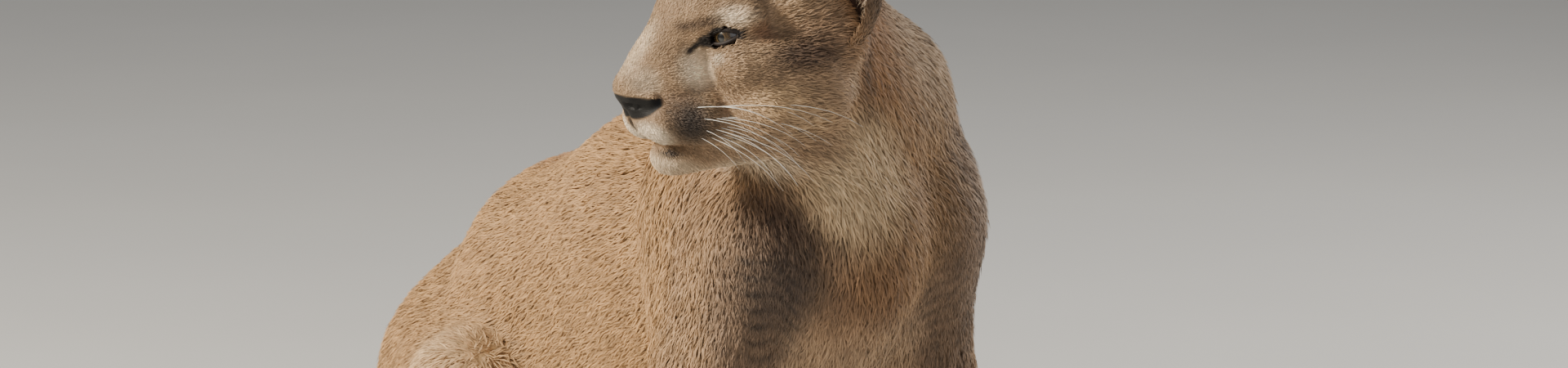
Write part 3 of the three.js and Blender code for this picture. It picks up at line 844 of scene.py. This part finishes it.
def lie(points):
    """The way the coat lies at places on the body."""
    total = np.zeros_like(points)
    for m, way in LIES:
        near = np.nonzero(np.linalg.norm(points - m.middle, axis=1) < m.reach + 80)[0]
        weight = np.exp(-np.maximum(m.distance(points[near]), -20) / 18)
        total[near] += weight[:, None] * way / np.linalg.norm(way)
    total /= np.maximum(np.linalg.norm(total, axis=1), 1e-9)[:, None]
    total += (0, 0, -0.28)
    h = to_head(points)
    from_nose = points - from_head(64, 0, -52)
    from_nose /= np.maximum(np.linalg.norm(from_nose, axis=1), 1e-9)[:, None]
    from_nose += (0, 0, -0.15)
    headed = head_share(h, (-135, -85), (-150, -112), (100, 115))
    return total + headed[:, None] * (from_nose - total)


def tuft_length(points):
    """How long the coat is, in millimetres."""
    h = to_head(points)
    back = np.clip(-h[:, 0], -70, 140)
    face = np.interp(back, (-60, -20, 10, 50, 100, 140), (2.4, 3.2, 4.6, 7, 10, 12))
    body = np.full(len(points), 12.0)
    body -= 3.5 * (1 - step(180, 330, points[:, 2]))
    body -= 3.5 * (1 - step(40, 120, points[:, 2]))
    body += 5 * blob(points, (-30, -230, 480), (90, 90, 120), 0.7)
    for s in SIDES.values():
        face += 3 * blob(h, (-60, s * 70, -60), (50, 60, 40), 0.8)
        body -= 6.5 * blob(points, (s * 88, -225, 385), (76, 70, 125), 0.6)
    return body + head_share(h) * (face - body)


def blades(name, roots, normals, ways, lengths, widths, rise, root_colours, tip_colours, places):
    """Joined tufts, each three faces long: a root in the skin, a bend and a tip."""
    count = len(roots)
    ways = ways - (ways * normals).sum(axis=1)[:, None] * normals
    ways /= np.maximum(np.linalg.norm(ways, axis=1), 1e-9)[:, None]
    turn = RNG.normal(0, HAIR_TURN, count)[:, None]
    side = np.cross(normals, ways)
    ways = ways * np.cos(turn) + side * np.sin(turn)
    side = np.cross(normals, ways)
    tilt = RNG.normal(0, HAIR_LEAN, count)[:, None]
    side = side * np.cos(tilt) + normals * np.sin(tilt)
    lift = (rise * RNG.uniform(0.5, 1.25, count))[:, None]
    long = lengths[:, None]
    half = side * (widths[:, None] / 2)
    root = roots - normals * ROOT_DEPTH
    bend = roots + ways * long * BEND + normals * lift * 0.75
    tip = roots + ways * long + normals * lift
    corners = (root - half, root + half, bend - half * 0.9, bend + half * 0.9, tip)
    corners = np.stack(corners, axis=1)
    start = (np.arange(count) * 5)[:, None]
    faces = np.stack((start + (0, 1, 3), start + (0, 3, 2), start + (2, 3, 4)), axis=1).reshape(-1, 3)
    mesh = bpy.data.meshes.new(name)
    mesh.vertices.add(count * 5)
    places_in_scene = scene_places(corners.reshape(-1, 3))
    places_in_scene[:, 2] = np.maximum(places_in_scene[:, 2], 0.0003)
    mesh.vertices.foreach_set("co", places_in_scene.ravel())
    mesh.loops.add(len(faces) * 3)
    mesh.loops.foreach_set("vertex_index", faces.ravel())
    mesh.polygons.add(len(faces))
    mesh.polygons.foreach_set("loop_start", np.arange(len(faces)) * 3)
    mesh.update(calc_edges=True)
    middle = root_colours * 0.35 + tip_colours * 0.65
    shades = np.stack((root_colours, root_colours, middle, middle, tip_colours), axis=1)
    painted(mesh, shades.reshape(-1, 3))
    patch = np.array(((-1, -1), (1, -1), (-1, 0.2), (1, 0.2), (0, 1))) * PATCH
    spread = (places[:, None, :] + patch).reshape(-1, 2)
    layer = mesh.uv_layers.new(name="OFBake")
    layer.data.foreach_set("uv", spread[faces.ravel()].ravel())
    piece = bpy.data.objects.new(name, mesh)
    bpy.context.scene.collection.objects.link(piece)
    mesh.polygons.foreach_set("use_smooth", np.ones(len(faces), bool))
    mesh.materials.append(coat_finish.material)
    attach(piece, "root")


coat_finish = Finish("coat", Roughness=0.72, Sheen_Weight=0.18, Sheen_Roughness=0.5)
coat_finish.shader.inputs["Sheen Tint"].default_value = (1.0, 0.93, 0.82, 1)
paint = coat_finish.node("ShaderNodeVertexColor", {"layer_name": "coat"}, {})
patches = coat_finish.noise(34.0, 4.0).over(0.3, 0.7)
weather = coat_finish.mix(patches, (0.90, 0.88, 0.86, 1), (1.08, 1.07, 1.05, 1))
coat_finish.feed("Base Color", coat_finish.mix(1.0, paint, weather, "MULTIPLY"))


def areas_and_middles(places, corners):
    """The area and the middle of each triangle."""
    a, b, c = (places[corners[:, k]] for k in range(3))
    return np.linalg.norm(np.cross(b - a, c - a), axis=1) / 2, (a + b + c) / 3


def scattered(expected):
    """Random places on triangles, about so many on each: their triangles and their corners' shares."""
    whole = np.floor(expected + RNG.random(len(expected))).astype(int)
    face = np.repeat(np.arange(len(expected)), whole)
    u, v = RNG.random((2, len(face)))
    over = u + v > 1
    u, v = np.where(over, 1 - u, u), np.where(over, 1 - v, v)
    return face, np.stack((1 - u - v, u, v), axis=1)[:, :, None]


def tuft_spacing(middle):
    """How far apart the tufts stand."""
    return 0.66 + 0.12 * tuft_length(middle)


def grows(middle):
    """1 where tufts grow and 0 on the nose, the lips, the lids and in the eye sockets."""
    f = one_side(to_head(middle))
    bald = leather_share(middle)
    near_ball = (np.linalg.norm(f - EYE_PLACE, axis=1) < EYE_RADIUS + 2.9) & (almond(f) < 2.0)
    lips = course_distance(f, MOUTH_COURSE) < 2.2
    under_foot = middle[:, 2] < 0.6
    return np.where(near_ball | lips | under_foot | (bald > 0.35), 0.0, 1.0)


CHANCES = RNG.normal(0, 1, (65536, 4))
SPREAD = np.array((73856093, 19349663, 83492791))  # large primes, so that near cells differ
FACE_LOCK = 3.2  # mm across a lock of hairs
BODY_LOCK = 5.5
TAIL_START = 455  # mm behind the middle of the body, and mm to its left where the tail lies
TAIL_SIDE = 205
COAT_PARTS = ("head", "tail", "front", "shoulders", "trunk", "haunches")
BODY_PARTS_END = (-100, 60, 220)  # mm behind the middle: front, shoulders and trunk


def locks(points, size):
    """Four chances that hairs of one lock share, for locks about so many millimetres wide."""
    cells = np.floor((points + RNG.normal(0, size * 0.22, points.shape)) / size).astype(int)
    return CHANCES[(cells @ SPREAD) % len(CHANCES)]


area, middles = areas_and_middles(points, triangles)
face, share = scattered(area / tuft_spacing(middles) ** 2 * grows(middles))
roots = (points[triangles[face]] * share).sum(axis=1)
upright = (skin_normals[triangles[face]] * share).sum(axis=1)
upright /= np.linalg.norm(upright, axis=1)[:, None]
unwrap = (skin_uv[face] * share).sum(axis=1)
long = tuft_length(roots) * RNG.uniform(0.75, 1.25, len(roots))
h = to_head(roots)
on_head = (h[:, 0] > -120) & (h[:, 2] > -130) & (np.abs(h[:, 1]) < 110)
lock = np.where(on_head[:, None], locks(roots, FACE_LOCK), locks(roots, BODY_LOCK))
ways = lie(roots) + 0.13 * lock[:, :3]
ways /= np.linalg.norm(ways, axis=1)[:, None]
flecks = RNG.normal(0, 0.14, len(roots)) + np.where(on_head, 0.16, 0.1) * lock[:, 3]
flecks = np.clip(1 + flecks, 0.55, 1.45)[:, None]
tips = np.clip(coat_colour(roots + ways * (0.8 * long)[:, None]) * flecks * 1.06, 0, 1)
darker = np.clip(coat_colour(roots + ways * (0.25 * long)[:, None]) * flecks * 0.74, 0, 1)
wide = 0.45 + 0.068 * long
height = np.minimum(0.26 * long, coat_depth(roots) * 0.85 + 0.2)
on_tail = (roots[:, 1] > TAIL_START) | (roots[:, 0] > TAIL_SIDE)
before = [roots[:, 1] < end for end in BODY_PARTS_END]
regions = np.select((on_head, on_tail, *before), (0, 1, 2, 3, 4), 5)
for number, label in enumerate(COAT_PARTS):
    members = np.nonzero(regions == number)[0]
    parts = math.ceil(len(members) / PIECE_TUFTS)
    for part in range(parts):
        own = members[part::parts]
        blades(
            f"coat_{label}_{part + 1}", roots[own], upright[own], ways[own], long[own], wide[own],
            height[own], darker[own], tips[own], unwrap[own],
        )


# Eyes: wet balls with olive-brown irises and round pupils, looking a little outward. Each is set
# behind lids with a dark bare rim.
PUPIL_EDGE = (3.9, 3.4)  # mm from the middle of the cornea; each pair is where a blend runs
IRIS_LIGHT = (5.0, 3.6)
IRIS_DARK = (7.4, 9.4)
IRIS_EDGE = (9.4, 10.4)
CORNEA_RISE = 0.0011  # m
CORNEA_WIDTH = 0.66  # as a share of the ball's
LID_RIM = 1.7  # mm, half the thickness of the bare rim
LID_COUNT = 72


def gaze(s):
    """The way an eye of one side looks, in the scene."""
    return Vector((-math.cos(EYE_TURN), -s * math.sin(EYE_TURN), -0.02)).normalized()


for label, s in SIDES.items():
    middle = placed(from_head(EYE_PLACE[0], s * EYE_PLACE[1], EYE_PLACE[2]))
    bpy.ops.mesh.primitive_uv_sphere_add(segments=64, ring_count=40, radius=EYE_RADIUS * MM)
    eye = bpy.context.object
    eye.name = f"eye_{label}_ball"
    turn = gaze(s).to_track_quat("Z", "Y").to_matrix().to_4x4()
    for vertex in eye.data.vertices:
        from_axis = math.hypot(vertex.co.x, vertex.co.y) / (EYE_RADIUS * MM)
        if vertex.co.z > 0:
            vertex.co.z += CORNEA_RISE * max(0, 1 - (from_axis / CORNEA_WIDTH) ** 2)
    eye.data.transform(Matrix.Translation(middle) @ turn)
    bpy.ops.object.shade_smooth()
    eye_finish = Finish(f"eye_{label}", Roughness=0.25, Coat_Weight=0.4, Coat_Roughness=0.05)
    spot = middle + gaze(s) * EYE_RADIUS * MM
    ends = (eye_finish.place(), tuple(spot))
    away = eye_finish.node("ShaderNodeVectorMath", {"operation": "DISTANCE"}, ends, 1) * 1000
    fibres = eye_finish.noise(900.0, 4.0)
    iris = eye_finish.mix(fibres.over(0.35, 0.7), colour(40, 31, 20), colour(80, 63, 40))
    iris = eye_finish.mix(away.over(*IRIS_LIGHT), iris, colour(88, 71, 45))
    iris = eye_finish.mix(away.over(*IRIS_DARK), iris, colour(34, 25, 17))
    tinted = eye_finish.mix(away.over(*PUPIL_EDGE), iris, colour(4, 3, 3))
    tinted = eye_finish.mix(away.over(*IRIS_EDGE), tinted, colour(40, 30, 25))
    eye_finish.feed("Base Color", tinted)
    eye.data.materials.append(eye_finish.material)
    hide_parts(f"eye_{label}")
    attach(eye, "root")
    bpy.ops.object.select_all(action="DESELECT")

lid_finish = Finish("lid", Roughness=0.6, Specular_IOR_Level=0.3)
lid_finish.feed("Base Color", lid_finish.mix(
    lid_finish.noise(500.0), colour(22, 16, 14), colour(40, 29, 24)
))
lid_finish.bump(lid_finish.noise(1400.0), 0.3, 0.0004)


def lid_rim(s):
    """The edge of the lids: a closed course on the ball, as places in the scene."""
    course = []
    for k in range(LID_COUNT):
        a = 2 * math.pi * k / LID_COUNT
        across = LID_LENGTH * math.cos(a)
        span = max(1 - (across / LID_LENGTH) ** 2, 0) ** 0.9
        height = LID_HEIGHTS[0] if math.sin(a) > 0 else -LID_HEIGHTS[1]
        up = height * span + LID_SLANT * across
        ahead = math.sqrt(max((EYE_RADIUS + 0.9) ** 2 - across ** 2 - up ** 2, 1))
        x = EYE_PLACE[0] + ahead * math.cos(EYE_TURN) - across * math.sin(EYE_TURN)
        y = EYE_PLACE[1] + ahead * math.sin(EYE_TURN) + across * math.cos(EYE_TURN)
        course.append(placed(from_head(x, s * y, EYE_PLACE[2] + up)))
    return course


def tube(name, course, radii, closed=False, sides=8):
    """A mesh tube of changing thickness along a course of places."""
    rings = []
    count = len(course)
    up = Vector((0, 0, 1))
    turns = [2 * math.pi * j / sides for j in range(sides)]
    for k, at in enumerate(course):
        ahead = course[(k + 1) % count] if closed or k + 1 < count else at
        behind = course[k - 1] if closed or k > 0 else at
        way = (ahead - behind).normalized()
        across = way.cross(up).normalized()
        high = across.cross(way)
        rings.append([
            at + (across * math.cos(turn) + high * math.sin(turn)) * radii[k] for turn in turns
        ])
    corners = [p for ring in rings for p in ring]
    faces = []
    for k in range(count if closed else count - 1):
        for j in range(sides):
            a, b = k * sides + j, k * sides + (j + 1) % sides
            n = (k + 1) % count * sides
            faces.append((a, b, n + (j + 1) % sides, n + j))
    if not closed:
        faces += [tuple(range(sides))[::-1], tuple(range((count - 1) * sides, count * sides))]
    mesh = bpy.data.meshes.new(name)
    mesh.from_pydata(corners, [], faces)
    mesh.update()
    mesh.polygons.foreach_set("use_smooth", np.ones(len(faces), bool))
    piece = bpy.data.objects.new(name, mesh)
    bpy.context.scene.collection.objects.link(piece)
    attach(piece, "root")
    return piece


for label, s in SIDES.items():
    rim = tube(f"lid_{label}", lid_rim(s), [LID_RIM * MM] * LID_COUNT, closed=True, sides=10)
    rim.data.materials.append(lid_finish.material)


# Ears: short rounded cups of gristle under thin fur, dark on the back, pale and sparsely haired
# inside. They stand on the crown, turned outward.
EAR_PLACE = np.array((-99.0, 60.0, 40.0))  # of the left ear, forward, left and up
EAR_RADII = np.array((24.0, 36.0, 58.0))
EAR_TURN = math.radians(40)
EAR_TILT = math.radians(-6)
EAR_WALL = 4  # mm
EAR_HOLLOW_AHEAD = 7
EAR_CELL = 0.0013  # m


def ear_sphere(s, inset, ahead):
    """The ball that an ear is made from, inset, and moved ahead to be its hollow."""
    bpy.ops.mesh.primitive_uv_sphere_add(segments=64, ring_count=44, radius=1)
    ball = bpy.context.object
    radii = (EAR_RADII[0] - inset / 2, EAR_RADII[1] - inset, EAR_RADII[2] - inset)
    turn = Matrix.Rotation(s * EAR_TURN, 4, "Z") @ Matrix.Rotation(EAR_TILT, 4, "Y")
    move = Matrix.Translation((EAR_PLACE[0] + ahead, s * (EAR_PLACE[1] + inset), EAR_PLACE[2]))
    head_to_scene = Matrix.Translation(placed(EYES)) @ Matrix.Diagonal((-MM, -MM, MM, 1))
    ball.data.transform(head_to_scene @ move @ turn @ Matrix.Diagonal((*radii, 1)))
    bpy.ops.object.select_all(action="DESELECT")
    return ball


for label, s in SIDES.items():
    ear = ear_sphere(s, 0.8, 0)
    hollow = ear_sphere(s, EAR_WALL, EAR_HOLLOW_AHEAD)
    cut = ear.modifiers.new("hollow", "BOOLEAN")
    cut.object = hollow
    cut.operation = "DIFFERENCE"
    cut.solver = "EXACT"
    bpy.context.view_layer.objects.active = ear
    bpy.ops.object.modifier_apply(modifier="hollow")
    bpy.data.objects.remove(hollow)
    remesh = ear.modifiers.new("even", "REMESH")
    remesh.mode = "VOXEL"
    remesh.voxel_size = EAR_CELL
    bpy.ops.object.modifier_apply(modifier="even")
    soften = ear.modifiers.new("soften", "SMOOTH")
    soften.factor = 0.5
    soften.iterations = 6
    bpy.ops.object.modifier_apply(modifier="soften")
    for polygon in ear.data.polygons:
        polygon.use_smooth = True
    ear.name = f"ear_{label}_cup"
    triangulate(ear.data)
    ear_points = (rows(ear.data.vertices, "co") - np.array(SHIFT)) / MM
    f = to_head(ear_points)
    local = f - EAR_PLACE * (1, s, 1)
    turned = s * EAR_TURN
    ahead = local[:, 0] * math.cos(turned) + local[:, 1] * math.sin(turned)
    across = -local[:, 0] * math.sin(turned) + local[:, 1] * math.cos(turned)
    shell = np.linalg.norm(np.stack((ahead, across, local[:, 2]), axis=1) / EAR_RADII, axis=1)
    hollowed = 1 - step(0.90, 0.97, shell)
    outside = np.tile(tone(150, 118, 86), (len(f), 1))
    dark = step(-50, 0, local[:, 2]) * (1 - step(20, 50, local[:, 2]))
    wash(outside, tone(58, 44, 36), dark * 0.75)
    inside = np.tile(tone(120, 88, 72), (len(f), 1))
    # The skin inside the cup is darker towards its bottom: painted shade deep in the hollow.
    wash(inside, tone(54, 38, 32), 1 - step(-40, 10, local[:, 2]))
    ear_skin = outside.copy()
    wash(ear_skin, inside, hollowed)
    painted(ear.data, ear_skin * UNDERCOAT)
    ear.data.materials.append(skin_finish.material)
    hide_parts(f"ear_{label}")
    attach(ear, "root")
    ear_triangles = rows(ear.data.polygons, "vertices", 3, int)
    area, middles = areas_and_middles(ear_points, ear_triangles)
    density = np.where(hollowed[ear_triangles[:, 0]] > 0.5, 0.12, 0.75)
    clear = form(middles) > -4
    face, share = scattered(area * density * clear)
    where = (ear_points[ear_triangles[face]] * share).sum(axis=1)
    ear_normals = rows(ear.data.vertices, "normal")
    upright = (ear_normals[ear_triangles[face]] * share).sum(axis=1)
    corner = ear_triangles[face, 0]
    inner = hollowed[corner] > 0.5
    growing = (0.0, 0.0, 1.0) + hollowed[corner][:, None] * np.array((-0.5, -0.9 * s, -0.2))
    long = np.where(inner, RNG.uniform(10, 20, len(face)), RNG.uniform(4, 8, len(face)))
    wide = np.where(inner, 0.5, 0.55 + 0.085 * long)
    height = np.where(inner, 5.0, 1.4)
    ear_hair = outside.copy()
    wash(ear_hair, tone(196, 176, 150), hollowed)
    shade = ear_hair[corner] * RNG.normal(1, 0.12, len(face))[:, None]
    blades(
        f"coat_ear_{label}", where, upright, growing, long, wide, height,
        np.clip(shade * 0.65, 0, 1), np.clip(shade, 0, 1), 0.5 + f[corner, 1:] / 400,
    )


# Whiskers: stiff white hairs in four rows on the pads beside the nose, and a few above the eyes.
# They leave the skin sideways, and those beside the nose bend back and down.
WHISKER_RADIUS = 0.29  # mm at the root


def whisker(root, first, last, length, count=9):
    """A hair that leaves the skin one way and bends round to another, with its thickness."""
    at = np.array(root, float)
    course = []
    for k in range(count):
        course.append(placed(from_head(*at)))
        t = (k / (count - 1)) ** 1.7
        way = (1 - t) * np.array(first) + t * np.array(last)
        at = at + way / np.linalg.norm(way) * length / (count - 1)
    radii = [(WHISKER_RADIUS * (1 - 0.82 * k / (count - 1))) * MM for k in range(count)]
    return course, radii


whisker_finish = Finish("whisker", Roughness=0.35)
whisker_finish.feed("Base Color", whisker_finish.mix(
    whisker_finish.noise(60.0), colour(226, 220, 208), colour(246, 242, 234)
))
for label, s in SIDES.items():
    hairs = []
    for row in range(4):
        for k in range(5):
            root = (27 - 7.0 * k - 2 * row, s * (33 + 2.6 * k + 0.8 * row), -57 - 7.0 * row)
            first = (-0.5 - 0.12 * k, s * 0.85, 0.16 - 0.16 * row)
            outward = s * (0.08 + RNG.uniform(-0.12, 0.12))
            last = (-1.0, outward, -0.7 - 0.3 * row + RNG.uniform(-0.3, 0.2))
            hairs.append((root, first, last, RNG.uniform(72, 120) - 10 * row))
    for k in range(5):
        root = (-4 - 4 * k, s * (34 + 2 * k), 24 + k)
        hairs.append((root, (0.5, s * 0.5, 0.6), (-0.8, s * 0.6, 0.7), RNG.uniform(30, 52)))
    pieces = []
    for k, hair in enumerate(hairs):
        pieces.append(tube(f"whisker_{label}_{k}", *whisker(*hair), sides=5))
        pieces[k].select_set(True)
    bpy.context.view_layer.objects.active = pieces[0]
    bpy.ops.object.join()
    pieces[0].name = f"whiskers_{label}"
    pieces[0].data.materials.append(whisker_finish.material)
    bpy.ops.object.select_all(action="DESELECT")
